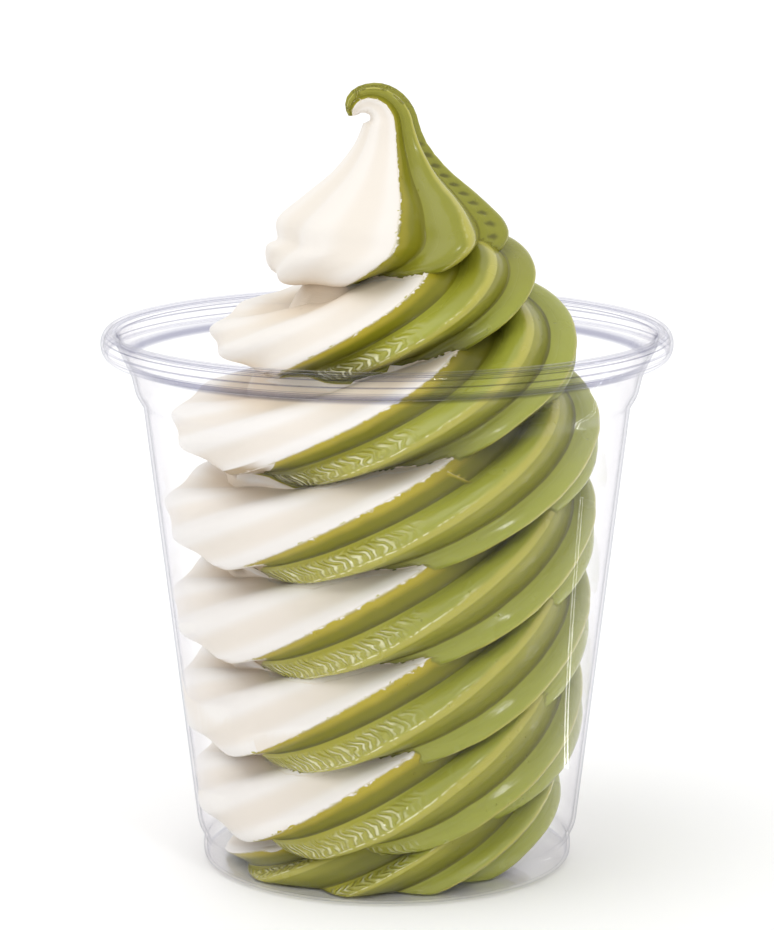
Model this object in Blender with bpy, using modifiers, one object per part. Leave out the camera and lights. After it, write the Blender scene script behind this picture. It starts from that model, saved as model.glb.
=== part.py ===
"""A two-flavour soft serve twist, vanilla and matcha, in a clear plastic cup.

Three solids: the cup, the vanilla half of the twist and the matcha half.
The twist is one rope with eight fins, laid by a star nozzle in a rising coil.
The cup stood still under the nozzle, so the rope never turned about itself:
vanilla faces -X and matcha faces +X on every turn of the coil.
Units are metres, +Z is up, and the cup's foot stands on Z = 0.
"""

from math import cos, pi, radians, sin, sqrt

import bmesh
import bpy
import numpy as np

MM = 0.001
OBJECT_NAME = "soft_serve_twist_cup"

# Cup: radii and heights of the outer face, in millimetres.
CUP_WALL = 0.5
CUP_SEGMENTS = 40
FOOT_RADIUS = 32.1
FOOT_CORNER = 1.0
GROOVE_RADIUS = 31.8
GROOVE_HEIGHT = 3.8
LEDGE_RADIUS = 33.1
LEDGE_HEIGHT = 6.5
STEP_RADIUS = 41.8
STEP_HEIGHT = 80.1
STEP_RISE = 2.2
STEP_WIDTH = 1.3
NECK_RADIUS = 43.9
NECK_HEIGHT = 85.8
RIM_RADIUS = 49.0
RIM_WIDTH = 3.2
RIM_HEIGHT = 4.8
RIM_TOP = 93.2
RIM_ROLL_START = -60
RIM_ROLL_POINTS = 7

# Twist: eight fins; vanilla and matcha meet on two opposite crests.
FINS = 8
FIN_POINTS = 6
MATCHA_START = radians(254)
VANILLA_START = MATCHA_START - pi
# Where each half starts, how deep its flutes are and how round its crests.
FLAVOURS = {
    "matcha": (MATCHA_START, 0.24, 0.25),
    "vanilla": (VANILLA_START, 0.16, 0.60),
}

# The coil, from its start on the cup's floor to the tip. Turns are counted
# from the one at half height. The other values are the radius of the path,
# the section's half widths across and along the path, its tilt from level
# in degrees, the height of its centre, and how far it has turned in degrees.
COIL = (
    (-3.7, 11.0, 12.0, 12.0, 14.0, 3.5, -70.0),
    (-3.1, 16.0, 12.0, 13.0, 24.0, 8.5, -60.0),
    (-2.6, 21.0, 11.5, 14.5, 29.0, 15.5, -8.0),
    (-2.0, 24.0, 11.5, 15.0, 29.0, 24.7, 0.0),
    (-1.0, 25.0, 11.5, 15.2, 28.0, 40.4, 0.0),
    (0.0, 24.8, 12.6, 15.0, 28.0, 56.5, 0.0),
    (1.0, 24.2, 14.0, 14.0, 28.5, 72.3, 0.0),
    (1.9, 19.5, 15.4, 12.4, 29.0, 86.0, 0.0),
    (2.5, 14.6, 15.6, 11.5, 27.0, 95.0, 0.0),
    (3.0, 11.0, 15.0, 13.0, 22.0, 101.0, 3.0),
    (3.4, 6.5, 15.5, 17.0, 12.0, 105.0, 8.0),
    (3.7, 2.0, 19.2, 19.2, 2.0, 107.5, 14.0),
    (4.0, 0.0, 19.0, 19.0, 0.0, 112.0, 19.0),
    (4.2, 0.0, 14.8, 14.8, 0.0, 116.0, 22.0),
    (4.4, 0.0, 10.0, 10.0, 0.0, 120.0, 23.0),
    (4.6, 0.0, 6.8, 6.8, 0.0, 124.0, 24.0),
    (4.9, 0.0, 4.5, 4.5, 0.0, 129.0, 24.0),
    (5.2, 0.0, 2.8, 2.8, 0.0, 134.0, 24.0),
    (5.4, 0.0, 2.0, 2.0, 0.0, 137.0, 24.0),
    (5.5, 0.0, 0.8, 0.8, 0.0, 138.6, 24.0),
)

# The coil isn't even: it leans, and its section wobbles once a turn.
LEAN_X = 3.4
LEAN_Y = 4.5
WOBBLE_X = radians(4.8)
WOBBLE_Y = radians(-10.2)
COIL_CENTRE = np.array((-0.5, 0.8, 0.0))
SETTLED_TURN = 3.5

# The tip stands a little to +X and curls over to -X, tighter as it goes.
TIP_CENTRE = np.array((0.7, 0.0, 0.0))
CURL_HEIGHT = 128.2
CURL_RADIUS = 4.4
CURL_TIGHTENING = 0.17

# The rope is joined from short lengths, and closes round a solid core.
PIECE_TURNS = 0.4
PIECE_SECTIONS = 9
CORE_OVERLAP = 3.0
CORE_LAST_TURN = 3.7
CORE_SECTIONS = 15
CORE_POINTS = 10

# The thin gaps that keep the twist clear of the cup, and its halves apart.
CUP_GAP = 0.3
FLAVOUR_GAP = 0.2

# How finely the joined rope is meshed anew, and to how many triangles it is
# thinned. The region is the space that divides matcha from vanilla.
TWIST_GRAIN = 0.5
TWIST_TRIANGLES = 4400
REGION_GRAIN = 1.2
REGION_TRIANGLES = 1500
REGION_MARGIN = 1.6
REGION_SMOOTHING = 8
CREASE_ANGLE = radians(40)

Z_AXIS = np.array((0.0, 0.0, 1.0))


def clear_scene():
    for old in list(bpy.data.objects):
        bpy.data.objects.remove(old, do_unlink=True)


def new_collection(name, hidden=False):
    collection = bpy.data.collections.new(name)
    bpy.context.scene.collection.children.link(collection)
    collection.hide_render = hidden
    return collection


def new_material(name, color, roughness, alpha=1.0):
    material = bpy.data.materials.new(name)
    material.use_nodes = True
    shader = material.node_tree.nodes["Principled BSDF"]
    shader.inputs["Base Color"].default_value = (*color, 1.0)
    shader.inputs["Roughness"].default_value = roughness
    shader.inputs["Metallic"].default_value = 0.0
    shader.inputs["Alpha"].default_value = alpha
    material.diffuse_color = (*color, alpha)
    return material


def new_object(name, vertices, edges, faces, collection):
    mesh = bpy.data.meshes.new(name)
    mesh.from_pydata([tuple(v * MM for v in point) for point in vertices], edges, faces)
    thing = bpy.data.objects.new(name, mesh)
    collection.objects.link(thing)
    return thing


def loft(name, sections, collection):
    """A closed solid through a row of closed outlines with equal counts."""
    size = len(sections[0])
    vertices = [point for section in sections for point in section]
    faces = []
    for k in range(len(sections) - 1):
        for i in range(size):
            j = (i + 1) % size
            faces.append((k * size + i, k * size + j, (k + 1) * size + j, (k + 1) * size + i))
    faces.append(tuple(range(size)))
    faces.append(tuple(range(len(vertices) - size, len(vertices))))
    thing = new_object(name, vertices, [], faces, collection)
    bm = bmesh.new()
    bm.from_mesh(thing.data)
    bmesh.ops.recalc_face_normals(bm, faces=bm.faces)
    bm.to_mesh(thing.data)
    bm.free()
    return thing


def turned(name, profile, segments, collection):
    """Turn a profile, given down its outer side, about the Z axis."""
    edges = [(i, i + 1) for i in range(len(profile) - 1)]
    thing = new_object(name, [(r, 0.0, z) for r, z in profile], edges, [], collection)
    screw = thing.modifiers.new("turn", "SCREW")
    screw.axis = "Z"
    screw.steps = segments
    screw.render_steps = segments
    screw.use_merge_vertices = True
    screw.merge_threshold = 0.01 * MM
    return thing


def bake(thing):
    """Replace an object's mesh with what its modifiers make of it."""
    graph = bpy.context.evaluated_depsgraph_get()
    baked = bpy.data.meshes.new_from_object(thing.evaluated_get(graph))
    thing.modifiers.clear()
    thing.data = baked


def cut(thing, operation, tool):
    """One Boolean with an object, or with all objects of a collection."""
    modifier = thing.modifiers.new("cut", "BOOLEAN")
    modifier.solver = "MANIFOLD"
    modifier.operation = operation
    if isinstance(tool, bpy.types.Collection):
        modifier.operand_type = "COLLECTION"
        modifier.collection = tool
        tools = list(tool.objects)
    else:
        modifier.object = tool
        tools = [tool]
    bake(thing)
    for old in tools:
        bpy.data.objects.remove(old, do_unlink=True)


def keep_largest(thing):
    """Drop loose scraps, and fill hollows by dropping their walls."""
    bm = bmesh.new()
    bm.from_mesh(thing.data)
    unseen = set(bm.faces)
    islands = []
    while unseen:
        island = [unseen.pop()]
        for face in island:
            for edge in face.edges:
                for other in edge.link_faces:
                    if other in unseen:
                        unseen.remove(other)
                        island.append(other)
        islands.append(island)
    largest = max(islands, key=len)
    scraps = [face for island in islands if island is not largest for face in island]
    bmesh.ops.delete(bm, geom=scraps, context="FACES")
    bm.to_mesh(thing.data)
    bm.free()


# ---------------------------------------------------------------- the twist

def coil_at(turn):
    """Read the COIL table at a turn, on a smooth curve through its rows."""
    table = np.array(COIL)
    turns = table[:, 0]
    slopes = np.gradient(table, turns, axis=0)
    i = int(np.clip(np.searchsorted(turns, turn) - 1, 0, len(turns) - 2))
    step = turns[i + 1] - turns[i]
    t = (turn - turns[i]) / step
    start = (2 * t**3 - 3 * t**2 + 1) * table[i] + (t**3 - 2 * t**2 + t) * step * slopes[i]
    end = (3 * t**2 - 2 * t**3) * table[i + 1] + (t**3 - t**2) * step * slopes[i + 1]
    return (start + end)[1:]


def curl(point, height):
    """Bend a point of the section at this height into the curl of the tip."""
    if height <= CURL_HEIGHT:
        return point
    k = CURL_TIGHTENING
    length = (height - CURL_HEIGHT) / CURL_RADIUS
    bend = (1 - sqrt(1 - 2 * k * length)) / k
    middle_x = CURL_RADIUS * (cos(bend) - 1 + k * (sin(bend) - bend * cos(bend)))
    middle_z = CURL_RADIUS * (sin(bend) - k * (cos(bend) + bend * sin(bend) - 1))
    x, y, _ = point - TIP_CENTRE
    bent = np.array((middle_x + x * cos(bend), y, CURL_HEIGHT + middle_z + x * sin(bend)))
    return bent + TIP_CENTRE


def rope_section(turn, outline, grow=0.0):
    """The star's polar outline, set in its place on the coil."""
    path, across, along, tilt, height, twist = coil_at(turn)
    angle = 2 * pi * turn
    loose = min(1.0, max(0.0, SETTLED_TURN - turn))
    out = np.array((cos(angle), sin(angle), 0.0))
    ahead = np.array((-sin(angle), cos(angle), 0.0))
    back = sin(radians(tilt)) * Z_AXIS - cos(radians(tilt)) * ahead
    lean = loose * (LEAN_X * cos(angle) + LEAN_Y * sin(angle))
    wobble = loose * (WOBBLE_X * cos(angle) + WOBBLE_Y * sin(angle))
    middle = path * out + (height + lean) * Z_AXIS
    middle = middle + loose * COIL_CENTRE + (1 - loose) * TIP_CENTRE
    section = []
    for radius, direction in outline:
        phase = angle - direction - radians(twist) + wobble
        extra = grow if radius else 0.0
        point = middle + (radius * across + extra) * cos(phase) * out
        point = point + (radius * along + extra) * sin(phase) * back
        section.append(curl(point, height))
    return section


def fin_radius(direction, depth, rounding):
    """The star's outline: narrow crests and round flutes between them."""
    wave = abs(sin(0.5 * FINS * (direction - MATCHA_START)))
    rise = sqrt(wave**2 + rounding**2) - rounding
    return 1.0 - depth * rise / (sqrt(1 + rounding**2) - rounding)


def half_star(flavour):
    """Polar points round one half of the star, from crest to crest."""
    start, depth, rounding = FLAVOURS[flavour]
    count = FINS // 2 * FIN_POINTS
    directions = [start + pi * k / count for k in range(count + 1)]
    return [(fin_radius(direction, depth, rounding), direction) for direction in directions]


def rope_pieces(outline, collection, grow=0.0):
    """The rope with this section, in short lengths that meet end to end."""
    first = COIL[0][0]
    for n in range(round((COIL[-1][0] - first) / PIECE_TURNS)):
        sections = []
        for k in range(PIECE_SECTIONS + 1):
            turn = first + PIECE_TURNS * (n + k / PIECE_SECTIONS)
            sections.append(rope_section(turn, outline, grow))
        loft("piece", sections, collection)


def half_core(flavour, collection):
    """Half of the round core, on the side where that flavour shows."""
    start = FLAVOURS[flavour][0]
    first = COIL[0][0]
    sections = []
    for n in range(CORE_SECTIONS + 1):
        path, _, _, _, height, _ = coil_at(first + (CORE_LAST_TURN - first) * n / CORE_SECTIONS)
        radius = path + CORE_OVERLAP
        section = []
        for k in range(CORE_POINTS + 1):
            angle = start + pi * k / CORE_POINTS
            section.append((radius * cos(angle), radius * sin(angle), height))
        sections.append(section)
    return loft(f"{flavour}_core", sections, collection)


def mesh_anew(thing, grain, triangles, smoothing=0):
    """One even skin over a joined shape, thinned where it is flat."""
    remesh = thing.modifiers.new("skin", "REMESH")
    remesh.mode = "VOXEL"
    remesh.voxel_size = grain * MM
    if smoothing:
        smooth = thing.modifiers.new("smooth", "SMOOTH")
        smooth.iterations = smoothing
    bake(thing)
    keep_largest(thing)
    thing.data.calc_loop_triangles()
    thin = thing.modifiers.new("thin", "DECIMATE")
    thin.ratio = triangles / len(thing.data.loop_triangles)
    bake(thing)


def whole_twist(name, collection, cutters):
    """Both flavours as one solid, pressed into the bottom of the cup."""
    twist = half_core("vanilla", collection)
    twist.name = name
    lengths = new_collection("lengths", hidden=True)
    half_core("matcha", lengths)
    star = half_star("vanilla")[:-1] + half_star("matcha")[:-1]
    rope_pieces(star, lengths)
    cut(twist, "UNION", lengths)
    bpy.data.collections.remove(lengths)
    mesh_anew(twist, TWIST_GRAIN, TWIST_TRIANGLES)
    cut(twist, "INTERSECT", room_in_cup(cutters))
    return twist


def matcha_region(cutters):
    """The space that is matcha: a little more than its half of the rope."""
    lengths = new_collection("lengths", hidden=True)
    middle = (0.0, MATCHA_START)
    rope_pieces(half_star("matcha") + [middle], lengths, REGION_MARGIN)
    rope = lengths.objects[0]
    lengths.objects.unlink(rope)
    cutters.objects.link(rope)
    cut(rope, "UNION", lengths)
    bpy.data.collections.remove(lengths)
    cut(rope, "DIFFERENCE", half_core("vanilla", cutters))
    region = half_core("matcha", cutters)
    cut(region, "UNION", rope)
    mesh_anew(region, REGION_GRAIN, REGION_TRIANGLES, REGION_SMOOTHING)
    return region


def copy_of(thing, name, collection):
    copied = thing.copy()
    copied.data = thing.data.copy()
    copied.name = name
    collection.objects.link(copied)
    return copied


def split_flavours(collection, cutters):
    """Divide the twist into vanilla and matcha, a thin gap apart."""
    vanilla = whole_twist("vanilla_twist", collection, cutters)
    matcha = copy_of(vanilla, "matcha_twist", collection)
    region = matcha_region(cutters)
    wider = copy_of(region, "wider_region", cutters)
    swell = wider.modifiers.new("gap", "DISPLACE")
    swell.direction = "NORMAL"
    swell.mid_level = 0.0
    swell.strength = FLAVOUR_GAP * MM
    bake(wider)
    cut(vanilla, "DIFFERENCE", wider)
    cut(matcha, "INTERSECT", region)
    cut(matcha, "DIFFERENCE", copy_of(vanilla, "vanilla_cutter", cutters))
    for flavour in (vanilla, matcha):
        keep_largest(flavour)
        flavour.data.shade_smooth()
        flavour.data.set_sharp_from_angle(angle=CREASE_ANGLE)
    return vanilla, matcha


# ------------------------------------------------------------------ the cup

def cup_profile():
    """The inner face of the rim's roll, and the outer face from there down."""
    half_width = RIM_WIDTH / 2 - CUP_WALL
    half_height = RIM_HEIGHT / 2 - CUP_WALL
    profile = []
    for k in range(RIM_ROLL_POINTS):
        angle = radians(RIM_ROLL_START + (180 - RIM_ROLL_START) * k / (RIM_ROLL_POINTS - 1))
        radius = RIM_RADIUS - RIM_WIDTH / 2 + half_width * cos(angle)
        profile.append((radius, RIM_TOP - RIM_HEIGHT / 2 + half_height * sin(angle)))
    profile += [
        (NECK_RADIUS, NECK_HEIGHT),
        (STEP_RADIUS + STEP_WIDTH, STEP_HEIGHT + STEP_RISE),
        (STEP_RADIUS, STEP_HEIGHT),
        (LEDGE_RADIUS, LEDGE_HEIGHT),
        (GROOVE_RADIUS, GROOVE_HEIGHT),
        (FOOT_RADIUS, GROOVE_HEIGHT - FOOT_CORNER),
        (FOOT_RADIUS, FOOT_CORNER),
        (FOOT_RADIUS - FOOT_CORNER, 0.0),
        (0.0, 0.0),
    ]
    return profile


def cup_solid(name, collection):
    """The thin wall, its rolled rim, and the ledge and step round it."""
    cup = turned(name, cup_profile(), CUP_SEGMENTS, collection)
    wall = cup.modifiers.new("wall", "SOLIDIFY")
    wall.thickness = CUP_WALL * MM
    wall.offset = -1.0
    wall.use_even_offset = True
    return cup


def room_in_cup(collection):
    """What the twist may fill: the cup's inside, and the space above it."""
    inset = CUP_WALL + CUP_GAP
    wide = 2 * RIM_RADIUS
    profile = [
        (0.0, 2 * RIM_TOP),
        (wide, 2 * RIM_TOP),
        (wide, STEP_HEIGHT),
        (STEP_RADIUS - inset, STEP_HEIGHT),
        (LEDGE_RADIUS - inset, LEDGE_HEIGHT),
        (GROOVE_RADIUS - inset, GROOVE_HEIGHT),
        (GROOVE_RADIUS - inset, FOOT_CORNER + inset),
        (FOOT_RADIUS - FOOT_CORNER - inset, inset),
        (0.0, inset),
    ]
    room = turned("room", profile, 2 * CUP_SEGMENTS, collection)
    bake(room)
    return room


def main():
    clear_scene()
    parts = new_collection(OBJECT_NAME)
    cutters = new_collection(OBJECT_NAME + "_cutters", hidden=True)
    cup = cup_solid("cup", parts)
    vanilla, matcha = split_flavours(parts, cutters)
    finishes = (
        (cup, new_material("clear_plastic", (0.92, 0.92, 0.95), 0.05, alpha=0.25)),
        (vanilla, new_material("vanilla_ice", (0.90, 0.87, 0.80), 0.45)),
        (matcha, new_material("matcha_ice", (0.40, 0.44, 0.09), 0.35)),
    )
    for thing, material in finishes:
        thing.data.materials.clear()
        thing.data.materials.append(material)


main()
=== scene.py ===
"""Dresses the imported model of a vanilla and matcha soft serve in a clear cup.

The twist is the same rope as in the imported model, laid on the same coil, but
meshed finely and with the small forms that the photograph shows. The cup is
the same turned profile, smooth and with a true rolled rim. Units are metres.
"""

from math import atan2, cos, pi, radians, sin

import bpy
import numpy as np
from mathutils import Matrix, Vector
from mathutils.kdtree import KDTree


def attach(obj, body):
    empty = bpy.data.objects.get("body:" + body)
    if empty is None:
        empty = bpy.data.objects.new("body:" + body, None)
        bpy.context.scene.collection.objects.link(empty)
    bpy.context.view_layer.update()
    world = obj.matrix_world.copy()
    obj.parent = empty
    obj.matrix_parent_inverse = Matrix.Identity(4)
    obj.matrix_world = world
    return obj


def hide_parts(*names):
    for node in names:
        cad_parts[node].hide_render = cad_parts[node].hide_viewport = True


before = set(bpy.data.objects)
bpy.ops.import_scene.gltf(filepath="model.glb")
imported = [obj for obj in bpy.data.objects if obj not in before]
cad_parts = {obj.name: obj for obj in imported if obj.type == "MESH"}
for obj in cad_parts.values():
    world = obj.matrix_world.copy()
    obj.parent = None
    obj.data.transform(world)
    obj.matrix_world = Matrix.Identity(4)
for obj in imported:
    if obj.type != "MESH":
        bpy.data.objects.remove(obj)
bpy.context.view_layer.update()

MM = 0.001

# ------------------------------------------------------------ the same sizes

# Cup: radii and heights of the outer face, in millimetres.
CUP_WALL = 0.5
FOOT_RADIUS = 32.1
FOOT_CORNER = 1.0
GROOVE_RADIUS = 31.8
GROOVE_HEIGHT = 3.8
LEDGE_RADIUS = 33.1
LEDGE_HEIGHT = 6.5
STEP_RADIUS = 41.8
STEP_HEIGHT = 80.1
STEP_RISE = 2.2
STEP_WIDTH = 1.3
NECK_RADIUS = 43.9
NECK_HEIGHT = 85.8
RIM_RADIUS = 49.0
RIM_WIDTH = 3.2
RIM_HEIGHT = 4.8
RIM_TOP = 93.2

FINS = 8
MATCHA_START = radians(254)
VANILLA_START = MATCHA_START - pi
# Flutes, as shares of the rope's radius. Matcha keeps the nozzle's shape: a
# hollow flank, a crisp crease, a full face and a lip. Vanilla has softened.
MATCHA_DEPTH = 0.25
MATCHA_CREASE = 0.45
BACK_CREASE = 0.64
MATCHA_LIP = 0.80
LIP_DROP = 0.10
VANILLA_DEPTH = 0.085
VANILLA_CREST = 1.0

# turn, path radius, half width across and along, tilt, height, turned by
COIL = np.array((
    (-3.7, 14.0, 12.0, 12.0, 14.0, 3.5, -70.0),
    (-3.1, 18.6, 12.4, 13.0, 24.0, 8.5, -60.0),
    (-2.6, 21.4, 11.8, 14.5, 29.0, 15.5, -8.0),
    (-2.0, 24.0, 11.5, 15.0, 29.0, 24.7, 0.0),
    (-1.0, 25.0, 11.5, 15.2, 28.0, 40.4, 0.0),
    (0.0, 24.8, 12.6, 15.0, 28.0, 56.5, 0.0),
    (1.0, 24.2, 14.0, 14.0, 28.5, 72.3, 0.0),
    (1.9, 19.5, 15.4, 12.4, 29.0, 86.0, 0.0),
    (2.5, 14.6, 15.6, 11.5, 27.0, 95.0, 0.0),
    (3.0, 11.0, 15.0, 13.0, 22.0, 101.0, 3.0),
    (3.4, 6.5, 15.5, 17.0, 12.0, 105.0, 8.0),
    (3.7, 2.0, 19.2, 19.2, 2.0, 107.5, 14.0),
    (4.0, 0.0, 19.0, 19.0, 0.0, 112.0, 19.0),
    (4.2, 0.0, 14.8, 14.8, 0.0, 116.0, 22.0),
    (4.4, 0.0, 10.0, 10.0, 0.0, 120.0, 23.0),
    (4.6, 0.0, 6.8, 6.8, 0.0, 124.0, 24.0),
    (4.9, 0.0, 4.5, 4.5, 0.0, 129.0, 24.0),
    (5.2, 0.0, 2.8, 2.8, 0.0, 134.0, 24.0),
    (5.4, 0.0, 2.0, 2.0, 0.0, 137.0, 24.0),
    (5.5, 0.0, 0.8, 0.8, 0.0, 138.6, 24.0),
))
LEAN_X = 3.4
LEAN_Y = 4.5
WOBBLE_X = radians(4.8)
WOBBLE_Y = radians(-10.2)
COIL_CENTRE = np.array((-0.5, 0.8, 0.0))
SETTLED_TURN = 3.5
TIP_CENTRE = np.array((0.7, 0.0, 0.0))
CURL_HEIGHT = 128.2
CURL_RADIUS = 4.4
CURL_TIGHTENING = 0.17
CORE_OVERLAP = 3.0
CORE_LAST_TURN = 3.7
CORE_SECTIONS = 40
CORE_POINTS = 32
REGION_MARGIN = 1.5 / 14.0
REGION_SPARSE = 4
REGION_FIN_POINTS = 4
ROPE_RADIUS = 15.0
SUNK_DEPTH = 9.0
BUBBLE_FIN = 1.76
BUBBLE_FROM = 3.15
BUBBLE_TO = 4.9
BUBBLE_FADE_IN = 0.1
BUBBLE_FADE_OUT = 0.3
BUBBLE_SHARE = 0.12
BUBBLE_STEPS = 3
BUBBLE_RADIUS = 0.85
BUBBLE_DEPTH = 1.2
# The painted brown shadow line that shows at the far left, deep between two
# turns: where it starts and fades in, how deep it lies, and how it pushes the
# matcha back.
SEAM_X = -18.0
SEAM_FADE = 4.0
SEAM_GAIN = 3.0
SEAM_LEAST = 0.4
SEAM_SHIFT = 0.5
SEAM_SIDE = -0.12
# Size and depth in millimetres, and a seed, of each kind of unevenness.
SWELLS = ((9.0, 0.30, 1), (3.2, 0.10, 2), (1.6, 0.04, 3))
# What each point of the skin knows, for the materials: above 0 on matcha's
# side, the painted brown shadow line, 1 on a crest, the fin it is on, the
# distance along the rope, and how deep inside the twist's outer form it lies.
FIELDS = ("side", "seam", "crest", "fin", "place", "deep")

# ------------------------------------------------------- how finely it's made

ROPE_STEP = 0.75
FIN_POINTS = 22
TURN_SAMPLES = 8001
FLANK_RADIUS = 0.9
PIECE_LENGTH = 48.0
CUP_SEGMENTS = 256
FILLET_POINTS = 6
ROLL_POINTS = 28
ROLL_END = -70
AXIS_HOLE = 0.02
SHARP_ANGLE = radians(50)


# ---------------------------------------------------------------- small noise

def lattice(cells, seed):
    """A repeatable random value from 0 to 1 for each whole-number cell."""
    mixed = np.zeros(cells.shape[:-1], dtype=np.uint32)
    for axis, prime in enumerate((73856093, 19349663, 83492791)[: cells.shape[-1]]):
        mixed ^= (cells[..., axis].astype(np.int64) * prime).astype(np.uint32)
    mixed ^= np.uint32(seed * 2654435761 % 2**32)
    mixed = (mixed ^ (mixed >> 15)) * np.uint32(2246822519)
    mixed = (mixed ^ (mixed >> 13)) * np.uint32(3266489917)
    mixed = mixed ^ (mixed >> 16)
    return mixed.astype(np.float64) / 2**32


def noise(points, seed):
    """Smooth noise from -1 to 1 with features about one unit across."""
    base = np.floor(points).astype(np.int64)
    part = points - base
    part = part * part * (3 - 2 * part)
    total = np.zeros(points.shape[:-1])
    size = points.shape[-1]
    for corner in range(2**size):
        offset = np.array([(corner >> axis) & 1 for axis in range(size)])
        weight = np.prod(np.where(offset, part, 1 - part), axis=-1)
        total += weight * lattice(base + offset, seed)
    return 2 * total - 1


# ------------------------------------------------------------------ the twist

def coil_at(turns):
    """Read the COIL table at these turns, on a smooth curve through its rows."""
    rows = COIL[:, 0]
    slopes = np.gradient(COIL, rows, axis=0)
    i = np.clip(np.searchsorted(rows, turns) - 1, 0, len(rows) - 2)
    step = (rows[i + 1] - rows[i])[:, None]
    t = (turns[:, None] - COIL[i, :1]) / step
    start = (2 * t**3 - 3 * t**2 + 1) * COIL[i] + (t**3 - 2 * t**2 + t) * step * slopes[i]
    end = (3 * t**2 - 2 * t**3) * COIL[i + 1] + (t**3 - t**2) * step * slopes[i + 1]
    return (start + end)[:, 1:].T


def curl(points, heights):
    """Bend the sections above CURL_HEIGHT into the curl of the tip."""
    k = CURL_TIGHTENING
    length = np.maximum(heights - CURL_HEIGHT, 0.0) / CURL_RADIUS
    bend = ((1 - np.sqrt(1 - 2 * k * length)) / k)[:, None]
    middle_x = CURL_RADIUS * (np.cos(bend) - 1 + k * (np.sin(bend) - bend * np.cos(bend)))
    middle_z = CURL_RADIUS * (np.sin(bend) - k * (np.cos(bend) + bend * np.sin(bend) - 1))
    x, y, z = np.moveaxis(points - TIP_CENTRE, -1, 0)
    curled_x = middle_x + x * np.cos(bend)
    curled_z = CURL_HEIGHT + middle_z + x * np.sin(bend)
    curled = np.stack((curled_x, y, curled_z), -1) + TIP_CENTRE
    return np.where((heights > CURL_HEIGHT)[:, None, None], curled, points)


def rope(turns, directions, radii):
    """Points of the rope's skin: a row of sections, each a polar outline."""
    path, across, along, tilt, height, twist = coil_at(turns)
    angle = 2 * pi * turns
    zero = np.zeros_like(angle)
    loose = np.clip(SETTLED_TURN - turns, 0.0, 1.0)
    out = np.stack((np.cos(angle), np.sin(angle), zero), -1)
    ahead = np.stack((-np.sin(angle), np.cos(angle), zero), -1)
    up = np.array((0.0, 0.0, 1.0))
    back = np.sin(np.radians(tilt))[:, None] * up - np.cos(np.radians(tilt))[:, None] * ahead
    lean = loose * (LEAN_X * np.cos(angle) + LEAN_Y * np.sin(angle))
    wobble = loose * (WOBBLE_X * np.cos(angle) + WOBBLE_Y * np.sin(angle))
    middle = path[:, None] * out + (height + lean)[:, None] * up
    middle = middle + loose[:, None] * COIL_CENTRE + (1 - loose)[:, None] * TIP_CENTRE
    phase = (angle - np.radians(twist) + wobble)[:, None] - directions[None, :]
    wide = (radii * across[:, None] * np.cos(phase))[..., None] * out[:, None, :]
    deep = (radii * along[:, None] * np.sin(phase))[..., None] * back[:, None, :]
    return curl(middle[:, None, :] + wide + deep, height)


def crease_at(fins):
    """Where on its fin each crease lies: near the middle only on the first."""
    return np.where(np.floor(fins) == 0, MATCHA_CREASE, BACK_CREASE)


def matcha_drop(fins):
    """How deep the skin lies, from 0 to 1, this many fins past matcha's start."""
    part = fins - np.floor(fins)
    crease = crease_at(fins)
    before = np.where(np.floor(fins) == 0, 0.0, LIP_DROP)
    after = np.where(np.floor(fins) == FINS / 2 - 1, 0.0, LIP_DROP)
    down = np.clip(part / crease, 0.0, 1.0)
    flank = before + (1 - before) * (1 - (1 - down) ** 1.5)
    up = (part - crease) / (1 - crease)
    face = np.clip(1 - up / MATCHA_LIP, 0.0, 1.0) ** 1.7
    lip = after * np.clip((up - MATCHA_LIP) / (1 - MATCHA_LIP), 0.0, 1.0) ** 1.5
    return np.where(part < crease, flank, face + lip)


def fin_places(fins):
    """The fin count, stretched so that every crease falls at MATCHA_CREASE."""
    part = fins - np.floor(fins)
    crease = crease_at(fins)
    flank = part / crease * MATCHA_CREASE
    face = 1 - (1 - part) / (1 - crease) * (1 - MATCHA_CREASE)
    return np.where(fins < 0, fins, np.floor(fins) + np.where(part < crease, flank, face))


def vanilla_drop(fins):
    """The same for vanilla, whose crests are round by VANILLA_CREST."""
    wave = np.hypot(np.sin(pi * fins), VANILLA_CREST) - VANILLA_CREST
    return wave / (np.hypot(1, VANILLA_CREST) - VANILLA_CREST)


def even_turns():
    """Turns at even steps along the rope, in pieces that share their ends."""
    fine = np.linspace(COIL[0, 0], COIL[-1, 0], TURN_SAMPLES)
    sides = np.array((MATCHA_START, MATCHA_START - pi))
    flank = rope(fine, sides, np.full((1, 2), FLANK_RADIUS))
    steps = np.linalg.norm(np.diff(flank, axis=0), axis=-1).mean(axis=-1)
    length = np.concatenate(((0.0,), np.cumsum(steps)))
    pieces = round(length[-1] / PIECE_LENGTH)
    each = round(length[-1] / pieces / ROPE_STEP)
    places = np.linspace(0.0, length[-1], pieces * each + 1)
    turns = np.interp(places, length, fine)
    return [
        (turns[n * each : (n + 1) * each + 1], places[n * each : (n + 1) * each + 1])
        for n in range(pieces)
    ]


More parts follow.
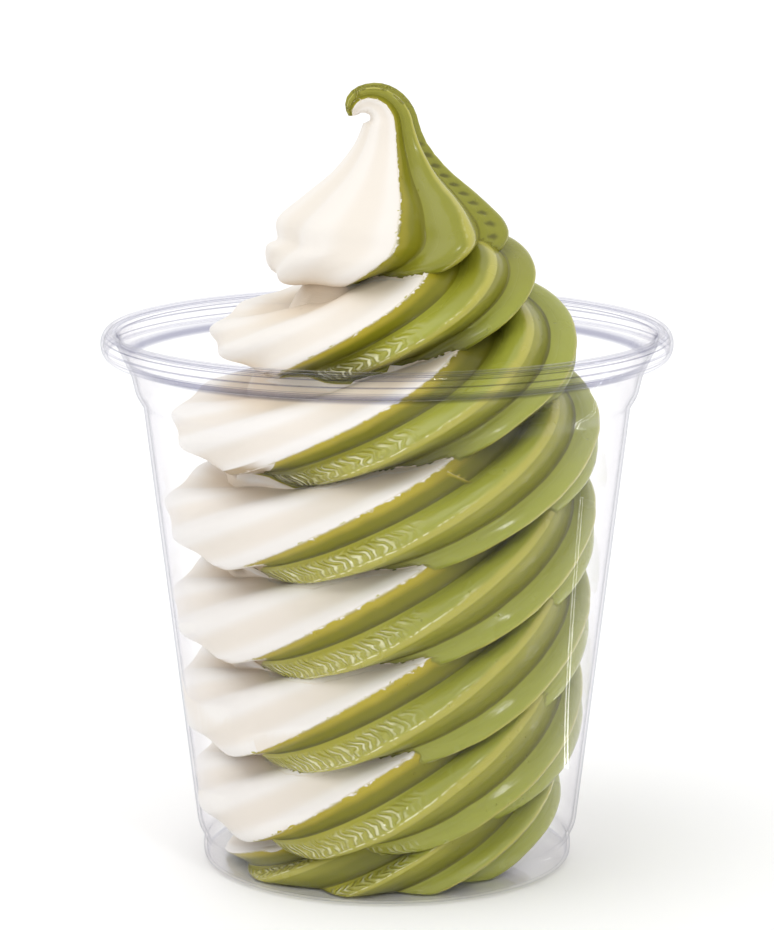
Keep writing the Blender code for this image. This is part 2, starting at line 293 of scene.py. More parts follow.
def mesh_of(name, vertices, faces, smooth=True, **fields):
    """A mesh from arrays in millimetres, with one number a vertex per field."""
    mesh = bpy.data.meshes.new(name)
    mesh.vertices.add(len(vertices))
    mesh.vertices.foreach_set("co", (vertices * MM).astype(np.float32).ravel())
    sizes = np.array([len(face) for face in faces], dtype=np.int32)
    mesh.loops.add(int(sizes.sum()))
    mesh.loops.foreach_set("vertex_index", np.concatenate(faces).astype(np.int32))
    mesh.polygons.add(len(faces))
    starts = np.concatenate(((0,), np.cumsum(sizes)[:-1]))
    mesh.polygons.foreach_set("loop_start", starts.astype(np.int32))
    for key, values in fields.items():
        layer = mesh.attributes.new(key, "FLOAT", "POINT")
        layer.data.foreach_set("value", values.astype(np.float32).ravel())
    mesh.update(calc_edges=True)
    mesh.validate()
    if smooth:
        mesh.shade_smooth()
    thing = bpy.data.objects.new(name, mesh)
    bpy.context.scene.collection.objects.link(thing)
    return thing


def tube(name, rings, **fields):
    """A closed tube through rings of points, its faces looking outwards."""
    rows, size = rings.shape[:2]
    k, i = np.meshgrid(np.arange(rows - 1), np.arange(size), indexing="ij")
    j = (i + 1) % size
    quads = np.stack((k * size + i, (k + 1) * size + i, (k + 1) * size + j, k * size + j), -1)
    quads = quads.reshape(-1, 4)
    points = rings.reshape(-1, 3)
    a, b, c, d = (points[quads[:, n]] for n in range(4))
    inward = np.sum(a * np.cross(b, c) + a * np.cross(c, d)) < 0
    faces = list(quads) + [np.arange(size), ((rows - 1) * size + np.arange(size))[::-1]]
    if inward:
        faces = [face[::-1] for face in faces]
    return mesh_of(name, points, faces, **fields)


def star(start, share, points):
    """Directions round a share of the star, and the fins that they are on."""
    count = round(share * FINS * points)
    directions = start + 2 * pi * share * np.arange(count + 1) / count
    return directions, (directions - MATCHA_START) * FINS / (2 * pi)


def skin_radii(fins):
    """The star's outline, with each half's own flutes and crests."""
    matcha = MATCHA_DEPTH * matcha_drop(fins)
    vanilla = VANILLA_DEPTH * vanilla_drop(fins)
    return 1 - np.where(fins >= 0, matcha, vanilla)


def uneven(places, fins):
    """Small swells and ripples of the skin, in millimetres."""
    angles = 2 * pi * fins / FINS
    total = 0.0
    for size, depth, seed in SWELLS:
        reach = ROPE_RADIUS / size
        axes = (places[:, None] / size, reach * np.cos(angles), reach * np.sin(angles))
        total = total + depth * noise(np.stack(np.broadcast_arrays(*axes), -1), seed)
    return total


def bubbles(turns, places, fins):
    """The row of burst bubbles beside one crest of the last turn."""
    across = coil_at(turns)[1][:, None]
    beside = (fins - BUBBLE_FIN) * 2 * pi * across / FINS
    apart = BUBBLE_STEPS * ROPE_STEP
    along = (places / apart - np.round(places / apart)) * apart
    start = np.clip((turns - BUBBLE_FROM) / BUBBLE_FADE_IN, 0.0, 1.0)
    end = np.clip((BUBBLE_TO - turns) / BUBBLE_FADE_OUT, 0.0, 1.0)
    size = np.minimum(BUBBLE_RADIUS, BUBBLE_SHARE * across)
    round_dent = np.exp(-((along[:, None] / BUBBLE_RADIUS) ** 2) - (beside / size) ** 2)
    return -BUBBLE_DEPTH * size * (start * end)[:, None] * round_dent


def sunk(points):
    """How far points lie inside the twist's outer form, from 0 to 1."""
    outer = np.interp(points[..., 2], COIL[:, 5], COIL[:, 1] + COIL[:, 2])
    radius = np.hypot(points[..., 0], points[..., 1])
    return np.clip((outer - radius) / SUNK_DEPTH, 0.0, 1.0)


def rope_length(turns, places):
    """One length of the whole rope, closed at its ends."""
    directions, fins = star(VANILLA_START, 1.0, FIN_POINTS)
    directions, fins = directions[:-1], fins[:-1]
    outline = skin_radii(fins)
    outline = 0.5 * outline + 0.25 * (np.roll(outline, 1) + np.roll(outline, -1))
    across = coil_at(turns)[1][:, None]
    dents = bubbles(turns, places, fins)
    radii = outline + uneven(places, fins) / ROPE_RADIUS + dents / across
    points = rope(turns, directions, radii)
    # How deep each point lies, in the outer form or down a bubble's dent: the materials paint
    # shade by it.
    deep = np.maximum(sunk(points), -dents / BUBBLE_RADIUS)
    left = np.clip((SEAM_X - points[..., 0]) / SEAM_FADE, 0.0, 1.0)
    seam = left * np.clip(SEAM_GAIN * deep - SEAM_LEAST, 0.0, 1.0)
    side = np.sin(directions - MATCHA_START)
    return tube(
        "length",
        points,
        side=side - SEAM_SHIFT * seam,
        seam=seam * (side > SEAM_SIDE),
        crest=np.tile(1 - np.abs(np.sin(pi * fins)), (len(turns), 1)),
        fin=np.tile(fin_places(fins), (len(turns), 1)),
        place=np.tile(places[:, None], (1, len(fins))),
        deep=deep,
    )


def region_length(turns):
    """One length of the space that matcha takes, a little wider than its skin."""
    directions, fins = star(MATCHA_START, 0.5, REGION_FIN_POINTS)
    directions = np.append(directions, MATCHA_START)
    margin = np.append(skin_radii(np.abs(fins)) + REGION_MARGIN, 0.0)
    radii = np.tile(margin, (len(turns), 1))
    points = rope(turns, directions, radii)
    return tube("region", points)


def core(start, share):
    """The round core of the coil, or half of it."""
    turns = np.linspace(COIL[0, 0], CORE_LAST_TURN, CORE_SECTIONS + 1)
    path, _, _, _, height, _ = coil_at(turns)
    radius = (path + CORE_OVERLAP)[:, None]
    count = round(share * CORE_POINTS)
    angles = start + 2 * pi * share * np.arange(count + (share < 1)) / count
    flat = np.broadcast_to(height[:, None], (len(turns), len(angles)))
    points = np.stack((radius * np.cos(angles), radius * np.sin(angles), flat), -1)
    return tube("core", points)


def bake(thing):
    """Make what the modifiers show the thing's own mesh."""
    graph = bpy.context.evaluated_depsgraph_get()
    baked = bpy.data.meshes.new_from_object(thing.evaluated_get(graph))
    thing.modifiers.clear()
    thing.data = baked


def cut(thing, operation, tool):
    """Join a tool to a thing, or cut the thing with it, and drop the tool."""
    modifier = thing.modifiers.new("cut", "BOOLEAN")
    modifier.solver = "MANIFOLD"
    modifier.operation = operation
    modifier.object = tool
    bake(thing)
    bpy.data.objects.remove(tool, do_unlink=True)


def turned(profile):
    """Rings of points that turn a profile of radii and heights about Z."""
    angles = 2 * pi * np.arange(CUP_SEGMENTS) / CUP_SEGMENTS
    radii, heights = np.array(profile).T[:, :, None]
    flat = np.broadcast_to(heights, (len(profile), CUP_SEGMENTS))
    return np.stack((radii * np.cos(angles), radii * np.sin(angles), flat), -1)


def room_in_cup():
    """What the twist may fill: it reaches into the middle of the cup's wall."""
    inset = 0.5 * CUP_WALL
    wide = 2 * RIM_RADIUS
    profile = (
        (FOOT_RADIUS - FOOT_CORNER - inset, inset),
        (FOOT_RADIUS - inset, FOOT_CORNER),
        (FOOT_RADIUS - inset, GROOVE_HEIGHT - FOOT_CORNER),
        (GROOVE_RADIUS - inset, GROOVE_HEIGHT),
        (LEDGE_RADIUS - inset, LEDGE_HEIGHT),
        (STEP_RADIUS - inset, STEP_HEIGHT),
        (wide, STEP_HEIGHT),
        (wide, 2 * RIM_TOP),
    )
    return tube("room", turned(profile))


def fill_fields(thing):
    """Give the points that cutting added the values of their neighbours."""
    mesh = thing.data
    values = {}
    for key in FIELDS:
        values[key] = np.zeros(len(mesh.vertices), np.float32)
        mesh.attributes[key].data.foreach_get("value", values[key])
    known = (values["side"] != 0) | (values["place"] != 0)
    tree = KDTree(int(known.sum()))
    for i in np.flatnonzero(known):
        tree.insert(mesh.vertices[i].co, int(i))
    tree.balance()
    added = np.flatnonzero(~known)
    nearest = np.array([tree.find(mesh.vertices[i].co)[1] for i in added], int)
    for key in FIELDS:
        values[key][added] = values[key][nearest]
        mesh.attributes[key].data.foreach_set("value", values[key])


def whole_twist():
    """Both flavours as one skin, pressed into the bottom of the cup."""
    twist = core(0.0, 1.0)
    for turns, places in even_turns():
        cut(twist, "UNION", rope_length(turns, places))
    cut(twist, "INTERSECT", room_in_cup())
    fill_fields(twist)
    return twist


def matcha_region():
    """The space that matcha takes: its half of the core and of the rope."""
    region = core(MATCHA_START, 0.5)
    for turns, _ in even_turns():
        few = np.unique(np.append(turns[::REGION_SPARSE], turns[-1]))
        cut(region, "UNION", region_length(few))
    return region


def split_flavours():
    """Divide the twist into its vanilla piece and its matcha piece."""
    matcha = whole_twist()
    matcha.name = matcha.data.name = "matcha_swirl"
    vanilla = matcha.copy()
    vanilla.data = matcha.data.copy()
    vanilla.name = vanilla.data.name = "vanilla_swirl"
    bpy.context.scene.collection.objects.link(vanilla)
    region = matcha_region()
    again = region.copy()
    again.data = region.data.copy()
    bpy.context.scene.collection.objects.link(again)
    cut(vanilla, "DIFFERENCE", region)
    cut(matcha, "INTERSECT", again)
    for piece in (vanilla, matcha):
        piece.data.shade_smooth()
        piece.data.set_sharp_from_angle(angle=SHARP_ANGLE)
        piece.data.validate()
    return vanilla, matcha


# -------------------------------------------------------------------- the cup

def rounded(corners):
    """A line through corners (radius, height, fillet), its corners rounded."""
    line = [corners[0][:2]]
    for before, (x, z, fillet), after in zip(corners, corners[1:], corners[2:]):
        corner = np.array((x, z))
        arms = []
        for other in (before, after):
            arm = np.array(other[:2]) - corner
            reach = min(fillet, 0.45 * np.linalg.norm(arm))
            arms.append(corner + arm / np.linalg.norm(arm) * reach)
        for t in np.linspace(0.0, 1.0, FILLET_POINTS):
            line.append(tuple((1 - t) ** 2 * arms[0] + 2 * t * (1 - t) * corner + t**2 * arms[1]))
    line.append(corners[-1][:2])
    return line


def cup_middle_line():
    """The middle of the cup's wall, from the foot's centre to the roll's end."""
    half = 0.5 * CUP_WALL
    line = rounded((
        (0.0, half, 0.0),
        (FOOT_RADIUS - half, half, 1.2),
        (FOOT_RADIUS - half, GROOVE_HEIGHT - FOOT_CORNER, 0.5),
        (GROOVE_RADIUS - half, GROOVE_HEIGHT, 0.4),
        (LEDGE_RADIUS - half, LEDGE_HEIGHT, 0.8),
        (STEP_RADIUS - half, STEP_HEIGHT, 0.5),
        (STEP_RADIUS + STEP_WIDTH - half, STEP_HEIGHT + STEP_RISE, 0.8),
        (NECK_RADIUS - half, NECK_HEIGHT, 1.0),
        (RIM_RADIUS - RIM_WIDTH + half, RIM_TOP - RIM_HEIGHT / 2, 0.0),
    ))[:-1]
    for k in range(ROLL_POINTS + 1):
        angle = radians(180 + (ROLL_END - 180) * k / ROLL_POINTS)
        radius = RIM_RADIUS - RIM_WIDTH / 2 + (RIM_WIDTH / 2 - half) * cos(angle)
        line.append((radius, RIM_TOP - RIM_HEIGHT / 2 + (RIM_HEIGHT / 2 - half) * sin(angle)))
    return np.array(line)


def cup_shell():
    """The cup: its wall laid on both sides of the middle line, and turned."""
    line = cup_middle_line()
    along = np.gradient(line, axis=0)
    normal = np.stack((along[:, 1], -along[:, 0]), -1)
    normal /= np.linalg.norm(normal, axis=1)[:, None]
    outer = line + 0.5 * CUP_WALL * normal
    inner = line - 0.5 * CUP_WALL * normal
    outer[0, 0] = inner[0, 0] = AXIS_HOLE
    return tube("cup_shell", turned(np.concatenate((outer, inner[::-1]))))


# ------------------------------------------------------------------ materials

class Nodes:
    """Short ways to add and join shader nodes in one material."""

    def __init__(self, name):
        self.material = bpy.data.materials.new(name)
        self.material.use_nodes = True
        self.tree = self.material.node_tree
        self.shader = self.tree.nodes["Principled BSDF"]
        self.output = self.tree.nodes["Material Output"]

    def put(self, socket, value):
        if isinstance(value, bpy.types.NodeSocket):
            self.tree.links.new(value, socket)
        elif value is not None:
            socket.default_value = value

    def add(self, kind, settings=None, **inputs):
        node = self.tree.nodes.new(kind)
        for key, value in (settings or {}).items():
            setattr(node, key, value)
        for key, value in inputs.items():
            self.put(node.inputs[key.replace("_", " ")], value)
        return node

    def math(self, operation, a, b=None, c=None):
        node = self.tree.nodes.new("ShaderNodeMath")
        node.operation = operation
        for socket, value in zip(node.inputs, (a, b, c)):
            self.put(socket, value)
        return node.outputs[0]

    def times(self, first, *others):
        for other in others:
            first = self.math("MULTIPLY", first, other)
        return first

    def scaled(self, value, gain, shift):
        return self.math("MULTIPLY_ADD", value, gain, shift)

    def field(self, name):
        return self.add("ShaderNodeAttribute", {"attribute_name": name}).outputs["Fac"]

    def place(self, x, y):
        return self.add("ShaderNodeCombineXYZ", X=x, Y=y).outputs[0]

    def noise(self, vector, scale, detail=2.0, rough=0.5):
        node = self.add("ShaderNodeTexNoise", Vector=vector, Scale=scale, Detail=detail)
        node.inputs["Roughness"].default_value = rough
        return node.outputs["Fac"]

    def span(self, value, low, high, to_low=0.0, to_high=1.0):
        """A soft step from to_low to to_high, while the value goes low to high."""
        node = self.add("ShaderNodeMapRange", {"interpolation_type": "SMOOTHSTEP"})
        for key, number in (("Value", value), ("From Min", low), ("From Max", high)):
            self.put(node.inputs[key], number)
        node.inputs["To Min"].default_value = to_low
        node.inputs["To Max"].default_value = to_high
        return node.outputs[0]

    def mix(self, share, first, second):
        node = self.tree.nodes.new("ShaderNodeMix")
        node.data_type = "RGBA"
        self.put(node.inputs["Factor"], share)
        self.put(node.inputs[6], (*first, 1.0) if isinstance(first, tuple) else first)
        self.put(node.inputs[7], (*second, 1.0) if isinstance(second, tuple) else second)
        return node.outputs[2]

    def set(self, **values):
        for key, value in values.items():
            self.put(self.shader.inputs[key.replace("_", " ")], value)


MATCHA_GOLD = (0.45, 0.365, 0.030)
MATCHA_EDGE = (0.29, 0.28, 0.030)
# Painted shade: the darker flanks and creases under the crests, front and back fins.
MATCHA_FLANK_SHADE = (0.205, 0.195, 0.008)
MATCHA_CREASE_SHADE = (0.105, 0.10, 0.004)
MATCHA_BACK_FLANK_SHADE = (0.20, 0.20, 0.016)
MATCHA_BACK_CREASE_SHADE = (0.115, 0.11, 0.005)
MATCHA_FACE = (0.39, 0.365, 0.034)
MATCHA_FRESH = (0.31, 0.33, 0.040)
MATCHA_LIP_TONE = (0.43, 0.40, 0.065)
# A painted highlight, for the lip and the wet strokes:
MATCHA_PAINTED_HIGHLIGHT = (0.80, 0.79, 0.50)
# Painted shade where the skin lies deep:
MATCHA_DEEP_SHADE = (0.10, 0.095, 0.008)
VANILLA_FACE = (0.84, 0.81, 0.77)
# Painted shade for vanilla: in its valleys and on the cap, where it lies deep, and the brown seam
# line:
VANILLA_VALLEY_SHADE = (0.78, 0.72, 0.64)
VANILLA_DEEP_SHADE = (0.74, 0.63, 0.49)
SEAM_SHADOW_TONE = (0.40, 0.30, 0.18)

# Each span gives the two values between which a tone comes in, and where it
# doesn't come in fully, the shares that it starts and ends with.
# Places across one matcha fin, from 0 at its start to 1 at its end:
EDGE_ENDS = (0.06, 0.21)
CREASE_STARTS = (0.28, 0.44)
FACE_STARTS = (0.440, 0.462)
LIP_STARTS = (0.80, 0.90)
# The lip's painted highlight line:
LINE_STARTS = (0.838, 0.855)
LINE_ENDS = (0.882, 0.865)
STROKES_START = (0.50, 0.60)
STROKES_END = (0.85, 0.80)
WET_STARTS = (0.42, 0.60)
# Fins counted from the boundary at the front:
BACK_STARTS = (0.6, 0.9)
# Places in space, in metres:
FRESH_X = (-0.012, 0.012)
FRONT_STARTS_X = (-0.026, -0.016)
LINE_ENDS_X = (0.018, 0.004)
STROKES_END_X = (0.008, -0.003)
TIP_STARTS_Z = (0.118, 0.108)
# Painted shade on the cap above the cup: both flavours darker towards the top.
CAP_MATCHA_Z = (0.096, 0.106, 0.0, 0.60)
CAP_VANILLA_Z = (0.080, 0.100, 0.0, 0.45)
# The mesh's own fields:
BOUNDARY = (-0.010, 0.010)
CREST_STARTS = (0.0, 0.5)
# Where the painted shade of deep places comes in:
SUNK_MATCHA = (0.45, 1.0, 0.0, 0.85)
SUNK_VANILLA = (0.45, 1.0, 0.0, 0.80)
SEAM_STARTS = (0.05, 0.7)

# Noises: features a millimetre on the rope's skin, or a metre in space.
FIN_WIDTH = 11.0
FRINGE_SCALE, FRINGE_ROUGH, FRINGE_REACH, FRINGE_SHIFT = 0.55, 0.65, 0.16, -0.085
MOTTLE_SCALE, MOTTLE_ROUGH, MOTTLE_WEAR = 160.0, 0.6, 0.10
# Dots of the lip's painted highlight:
DOTS_SCALE, DOTS, DOTS_SHARE = 1.1, (0.42, 0.56), 0.75
PORES_SCALE, PORES, PORES_WHERE, PORES_DEPTH = 620.0, (0.04, 0.20), (0.54, 0.64), 0.45
RIPPLES_SCALE, RIPPLES_DETAIL, RIPPLES_ALONG, RIPPLES_ACROSS = 0.9, 1.5, 0.35, 9.0

# The wet strokes: a zigzag across the fin, repeated along it, with a wander.
# Their crests carry painted highlights, in patches.
ZIGZAGS, ZIGZAG_SLANT = 3.6, 9.0
STROKES_RATE, WANDER_SCALE, WANDER = 4.3, 0.5, 9.0
STROKES_LIT, STROKES_SHARE, STROKES_DEPTH = (0.0, 0.95), 0.8, 0.7
PATCH_SCALE, PATCHES = 0.28, (0.36, 0.60)

# Relief and gloss: what vanilla has, and what matcha and wet places add.
RIPPLES_DEPTH, MOTTLE_DEPTH, BUMP_DISTANCE = 0.35, 0.25, 0.0005
BUMP_BASE, BUMP_MATCHA = 0.15, 0.45
ROUGH_BASE, ROUGH_WET, ROUGH_PATCH, ROUGH_MOTTLE = 0.36, -0.16, -0.14, 0.12
GLOSS_BASE, GLOSS_WET, GLOSS_PATCH = 0.25, 0.30, 0.45
COAT_BASE, COAT_MATCHA, COAT_ROUGHNESS, COAT_IOR = 0.05, 0.27, 0.12, 1.4
CREAM_IOR = 1.38


def twist_material(name):
    """Both flavours, told apart by the side of the rope they are on."""
    n = Nodes(name)
    spot = n.add("ShaderNodeTexCoord").outputs["Object"]
    split = n.add("ShaderNodeSeparateXYZ", Vector=spot)
    x, z = split.outputs["X"], split.outputs["Z"]
    side, seam, crest, fin, along, deep = (n.field(key) for key in FIELDS)
    skin = n.place(along, n.times(fin, FIN_WIDTH))

    # The boundary, with the ragged fringe that the star's edge tears.
    fringe = n.noise(skin, FRINGE_SCALE, 2.0, FRINGE_ROUGH)
    edge = n.math("ADD", side, n.scaled(fringe, FRINGE_REACH, FRINGE_SHIFT))
    green = n.span(edge, *BOUNDARY)

    # Matcha, by where on its fin a place is: flank, crease, face and lip. The
    # flank and crease tones are painted shade, on the back fins too.
    mottle = n.noise(spot, MOTTLE_SCALE, 2.0, MOTTLE_ROUGH)
    across = n.math("FRACT", fin)
    part = n.math("ADD", across, n.scaled(mottle, MOTTLE_WEAR, -MOTTLE_WEAR / 2))
    back = n.span(fin, *BACK_STARTS)
    edge_tone = n.mix(back, MATCHA_GOLD, MATCHA_EDGE)
    flank_shade = n.mix(back, MATCHA_FLANK_SHADE, MATCHA_BACK_FLANK_SHADE)
    crease_shade = n.mix(back, MATCHA_CREASE_SHADE, MATCHA_BACK_CREASE_SHADE)
    face_tone = n.mix(n.span(x, *FRESH_X), MATCHA_FACE, MATCHA_FRESH)
    matcha = n.mix(n.span(part, *EDGE_ENDS), edge_tone, flank_shade)
    matcha = n.mix(n.span(part, *CREASE_STARTS), matcha, crease_shade)
    matcha = n.mix(n.span(across, *FACE_STARTS), matcha, face_tone)
    # Painted shade: above the cup the matcha darkens towards the top, to the flank's tone.
    matcha = n.mix(n.span(z, *CAP_MATCHA_Z), matcha, MATCHA_FLANK_SHADE)
    matcha = n.mix(n.span(part, *LIP_STARTS), matcha, MATCHA_LIP_TONE)

    # A painted highlight: a dotted line of light along the lip, at the front and
    # below the tip.
    front = n.times(n.span(x, *FRONT_STARTS_X), n.span(z, *TIP_STARTS_Z))
    line = n.times(n.span(part, *LINE_STARTS), n.span(part, *LINE_ENDS))
    dots = n.span(n.noise(skin, DOTS_SCALE, 1.0), *DOTS)
    lip_highlight = n.times(line, dots, front, n.span(x, *LINE_ENDS_X), DOTS_SHARE)
    matcha = n.mix(lip_highlight, matcha, MATCHA_PAINTED_HIGHLIGHT)
    # Painted shade where the skin lies deep between turns or in a bubble's dent.
    matcha = n.mix(n.span(deep, *SUNK_MATCHA), matcha, MATCHA_DEEP_SHADE)

    # Wet herringbone strokes on the faces that look to the front left: a bump,
    # and painted highlights on their crests.
    band = n.times(n.span(part, *STROKES_START), n.span(part, *STROKES_END))
    patch = n.times(front, n.span(x, *STROKES_END_X), band, green)
    zigzag = n.math("SUBTRACT", n.math("FRACT", n.times(fin, ZIGZAGS)), 0.5)
    wander = n.times(n.noise(skin, WANDER_SCALE, 1.0), WANDER)
    bent = n.scaled(n.math("ABSOLUTE", zigzag), ZIGZAG_SLANT, wander)
    strokes = n.math("SINE", n.scaled(along, STROKES_RATE, bent))
    patches = n.span(n.noise(skin, PATCH_SCALE, 1.0), *PATCHES)
    painted_glints = n.times(n.span(strokes, *STROKES_LIT), patch, STROKES_SHARE, patches)
    matcha = n.mix(painted_glints, matcha, MATCHA_PAINTED_HIGHLIGHT)

    # Vanilla: painted shade in its valleys and on the cap, warmer painted shade
    # where it lies deep, and the painted brown shadow line in the seam.
    vanilla = n.mix(n.span(crest, *CREST_STARTS), VANILLA_VALLEY_SHADE, VANILLA_FACE)
    vanilla = n.mix(n.span(z, *CAP_VANILLA_Z), vanilla, VANILLA_VALLEY_SHADE)
    vanilla = n.mix(n.span(deep, *SUNK_VANILLA), vanilla, VANILLA_DEEP_SHADE)
    vanilla = n.mix(n.span(seam, *SEAM_STARTS), vanilla, SEAM_SHADOW_TONE)

    # Relief: ripples along the rope, and strokes and pores in the matcha.
    pores = n.add("ShaderNodeTexVoronoi", Vector=spot, Scale=PORES_SCALE)
    pits = n.math("SUBTRACT", n.span(pores.outputs["Distance"], *PORES), 1.0)
    pits = n.times(pits, n.span(mottle, *PORES_WHERE), PORES_DEPTH)
    marks = n.math("ADD", n.times(strokes, patch, STROKES_DEPTH), pits)
    ripple_place = n.place(n.times(along, RIPPLES_ALONG), n.times(fin, RIPPLES_ACROSS))
    ripples = n.noise(ripple_place, RIPPLES_SCALE, RIPPLES_DETAIL)
    relief = n.scaled(ripples, RIPPLES_DEPTH, n.times(mottle, MOTTLE_DEPTH))
    relief = n.math("ADD", relief, n.times(marks, green))
    bump = n.add(
        "ShaderNodeBump",
        Strength=n.scaled(green, BUMP_MATCHA, BUMP_BASE),
        Distance=BUMP_DISTANCE,
        Height=relief,
    ).outputs[0]

    wet = n.times(n.span(part, *WET_STARTS), green)
    rough = n.scaled(patch, ROUGH_PATCH, n.scaled(wet, ROUGH_WET, ROUGH_BASE))
    gloss = n.scaled(patch, GLOSS_PATCH, n.scaled(wet, GLOSS_WET, GLOSS_BASE))
    n.set(
        Base_Color=n.mix(green, vanilla, matcha),
        Normal=bump,
        Roughness=n.scaled(mottle, ROUGH_MOTTLE, rough),
        Specular_IOR_Level=gloss,
        IOR=CREAM_IOR,
        Coat_Weight=n.scaled(green, COAT_MATCHA, COAT_BASE),
        Coat_Normal=bump,
        Coat_Roughness=COAT_ROUGHNESS,
        Coat_IOR=COAT_IOR,
    )
    return n.material


CUP_CLEAR = (0.998, 0.997, 0.998)
CUP_ASLANT = (0.945, 0.94, 0.95)
# Painted shade: the wall's dark edges, its rings and the rim's lines.
CUP_EDGE_SHADE = (0.46, 0.46, 0.53)
CUP_RING_SHADE = (0.88, 0.88, 0.91)
RIM_SHADE_LINE = (0.66, 0.66, 0.73)
# How far aslant the wall is seen, from 0 to 1, where each tint comes in:
ASLANT_STARTS = (0.50, 0.85)
WALL_EDGE_STARTS = (0.80, 1.0)
# How far the wall's normal points up or down, at the rings:
RING_STARTS = (0.45, 0.75)
RING_ENDS = (0.99, 0.90)
# Painted dark lines round the rolled rim, by the angle of its normal, above
# this height.
RIM_LINES, RIM_LINE_SPAN, RIM_STARTS_Z = 17.0, (0.72, 1.0), (0.0868, 0.0880)
MIRROR_POWER, MIRROR_ASLANT, MIRROR_LEAST, MIRROR_ROUGHNESS = 4.0, 0.55, 0.008, 0.03


def cup_material():
    """Thin clear plastic: it tints and mirrors more where it is seen aslant; its dark edges,
    rings and rim lines are painted shade in the tint.
    """
    n = Nodes("clear_plastic_film")
    facing = n.add("ShaderNodeLayerWeight", Blend=0.5).outputs["Facing"]
    tint = n.mix(n.span(facing, *ASLANT_STARTS), CUP_CLEAR, CUP_ASLANT)
    tint = n.mix(n.span(facing, *WALL_EDGE_STARTS), tint, CUP_EDGE_SHADE)
    # Rings and the rolled rim bend the light: fine darker lines along them,
    # painted as shade into the tint.
    spot = n.add("ShaderNodeTexCoord").outputs["Object"]
    height = n.add("ShaderNodeSeparateXYZ", Vector=spot).outputs["Z"]
    normal = n.add("ShaderNodeNewGeometry").outputs["Normal"]
    slope = n.add("ShaderNodeSeparateXYZ", Vector=normal).outputs["Z"]
    tilt = n.math("ABSOLUTE", slope)
    rings = n.times(n.span(tilt, *RING_STARTS), n.span(tilt, *RING_ENDS))
    tint = n.mix(rings, tint, CUP_RING_SHADE)
    waves = n.math("COSINE", n.times(n.math("ARCSINE", slope), RIM_LINES))
    lines = n.times(n.span(waves, *RIM_LINE_SPAN), n.span(height, *RIM_STARTS_Z))
    tint = n.mix(lines, tint, RIM_SHADE_LINE)
    film = n.add("ShaderNodeBsdfTransparent", Color=tint).outputs[0]
    gloss = n.add("ShaderNodeBsdfGlossy", Roughness=MIRROR_ROUGHNESS)
    gloss.inputs["Color"].default_value = (1.0, 1.0, 1.0, 1.0)
    both = n.add("ShaderNodeMixShader")
    mirror = n.scaled(n.math("POWER", facing, MIRROR_POWER), MIRROR_ASLANT, MIRROR_LEAST)
    for socket, value in zip(both.inputs, (mirror, film, gloss.outputs[0])):
        n.put(socket, value)
    n.tree.nodes.remove(n.shader)
    n.put(n.output.inputs["Surface"], both.outputs[0])
    return n.material


# ------------------------------------------------------------- stage and light

WORLD_LEVEL = 0.97
SUN_STRENGTH = 0.60
SUN_FROM = (-0.46, -0.34, 1.15)
SUN_SPREAD = radians(48)
GLINT_STRENGTH = 0.30
GLINT_FROM = (0.35, -0.75, 0.80)
GLINT_SPREAD = radians(7)
STRIP_PLACE = (0.135, 0.036, 0.001)
STRIP_SIZE = (0.145, 0.0022)
STRIP_POWER = 0.009
FLOOR_HALF = 4000.0
FLOOR_DROP = 0.0002
FLOOR_COLOR = (0.95, 0.95, 0.95)
FLOOR_ROUGHNESS = 0.9


def lamp(name, kind, place, rotation):
    light = bpy.data.lights.new(name, kind)
    thing = bpy.data.objects.new(name, light)
    thing.location = place
    thing.rotation_euler = rotation
    thing.visible_camera = False
    bpy.context.scene.collection.objects.link(thing)
    return light


def sun(name, toward, strength, spread):
    turn = Vector(toward).to_track_quat("Z", "Y").to_euler()
    light = lamp(name, "SUN", (0, 0, 1), turn)
    light.energy = strength
    light.angle = spread


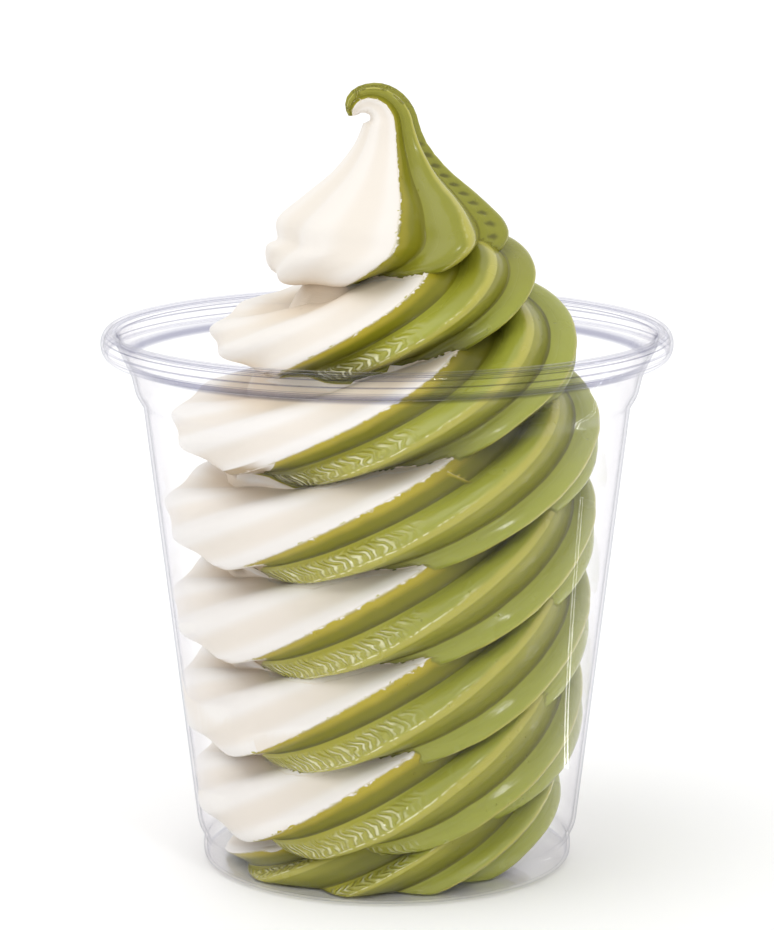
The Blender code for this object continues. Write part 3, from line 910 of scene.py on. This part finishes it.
def set_lights():
    """A white room, a broad soft key, a small one for glints, and a thin strip
    beside the foot that the cup mirrors."""
    world = bpy.data.worlds.new("white_room")
    world.use_nodes = True
    background = world.node_tree.nodes["Background"]
    background.inputs["Strength"].default_value = WORLD_LEVEL
    background.inputs["Color"].default_value = (1.0, 1.0, 1.0, 1.0)
    bpy.context.scene.world = world
    sun("key", SUN_FROM, SUN_STRENGTH, SUN_SPREAD)
    sun("glint", GLINT_FROM, GLINT_STRENGTH, GLINT_SPREAD)
    strip = lamp("strip", "AREA", STRIP_PLACE, (pi, 0, atan2(STRIP_PLACE[1], STRIP_PLACE[0])))
    strip.shape = "RECTANGLE"
    strip.size, strip.size_y = STRIP_SIZE
    strip.energy = STRIP_POWER


# The camera stands this far from the point it is aimed at, this high.
CAMERA_DISTANCE = 0.650
CAMERA_TARGET_Z = 0.0691
CAMERA_ELEVATION = radians(10.85)
CAMERA_LENS = 145.9
CAMERA_SENSOR = 36.0


def set_camera():
    data = bpy.data.cameras.new("camera")
    data.lens = CAMERA_LENS
    data.sensor_width = CAMERA_SENSOR
    data.clip_start = 0.01
    camera = bpy.data.objects.new("camera", data)
    across = CAMERA_DISTANCE * cos(CAMERA_ELEVATION)
    above = CAMERA_DISTANCE * sin(CAMERA_ELEVATION)
    camera.location = (0.0, -across, CAMERA_TARGET_Z + above)
    camera.rotation_euler = (pi / 2 - CAMERA_ELEVATION, 0.0, 0.0)
    bpy.context.scene.collection.objects.link(camera)
    bpy.context.scene.camera = camera


def set_stage():
    corners = FLOOR_HALF * np.array(((-1, -1, 0), (1, -1, 0), (1, 1, 0), (-1, 1, 0)), float)
    floor = mesh_of("floor", corners, [np.arange(4)], False)
    white = Nodes("floor_white")
    white.set(Base_Color=(*FLOOR_COLOR, 1.0), Roughness=FLOOR_ROUGHNESS)
    floor.data.materials.append(white.material)
    floor.location.z = -FLOOR_DROP
    set_lights()
    bpy.context.scene.view_settings.view_transform = "Standard"


def dress(piece, material, slot, *nodes):
    piece.data.materials.clear()
    piece.data.materials.append(material)
    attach(piece, "root")
    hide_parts(*nodes)


vanilla_swirl, matcha_swirl = split_flavours()
dress(vanilla_swirl, twist_material("vanilla_cream"), "vanilla_ice", "vanilla_twist")
dress(matcha_swirl, twist_material("matcha_cream"), "matcha_ice", "matcha_twist")
dress(cup_shell(), cup_material(), "clear_plastic", "cup")
set_stage()
set_camera()
